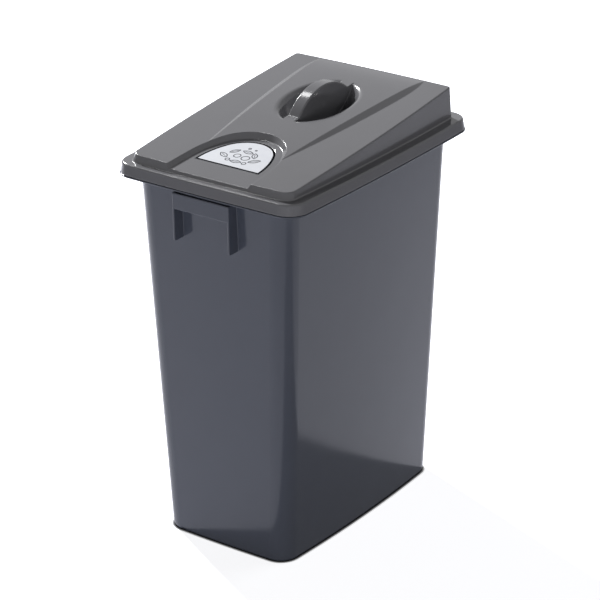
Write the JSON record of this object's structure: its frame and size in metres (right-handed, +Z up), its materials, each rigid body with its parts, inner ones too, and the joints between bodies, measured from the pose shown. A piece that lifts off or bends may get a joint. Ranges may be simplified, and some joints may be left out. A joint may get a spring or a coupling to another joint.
{
  "type": "recycling bin",
  "caption": "Tall tapered rectangular bin with a turned-down rim, end handles and a lift-off wedge lid with a recessed label and an oval grip.",
  "frame": {"origin": "on the floor under the middle of the bin's outer box", "axes": "+Z up out of the mouth, -Y towards the narrow end with the label, +X across the narrow side"},
  "size_m": [0.339, 0.463, 0.6648],
  "materials": {
    "bin_plastic": "blue-grey moulded polypropylene, satin",
    "lid_plastic": "mid-grey moulded polypropylene, satin",
    "label_film": "pale printed polyester film with a thin dark border"
  },
  "bodies": {
    "bin": {"bin_body": "bin_plastic"},
    "lid": {"lid": "lid_plastic", "label": "label_film"}
  },
  "joints": [
    {"name": "lid_lift", "type": "slide", "parent": "bin", "child": "lid", "axis": [0, 0, 1], "range_m": [0, 0.1]}
  ]
}
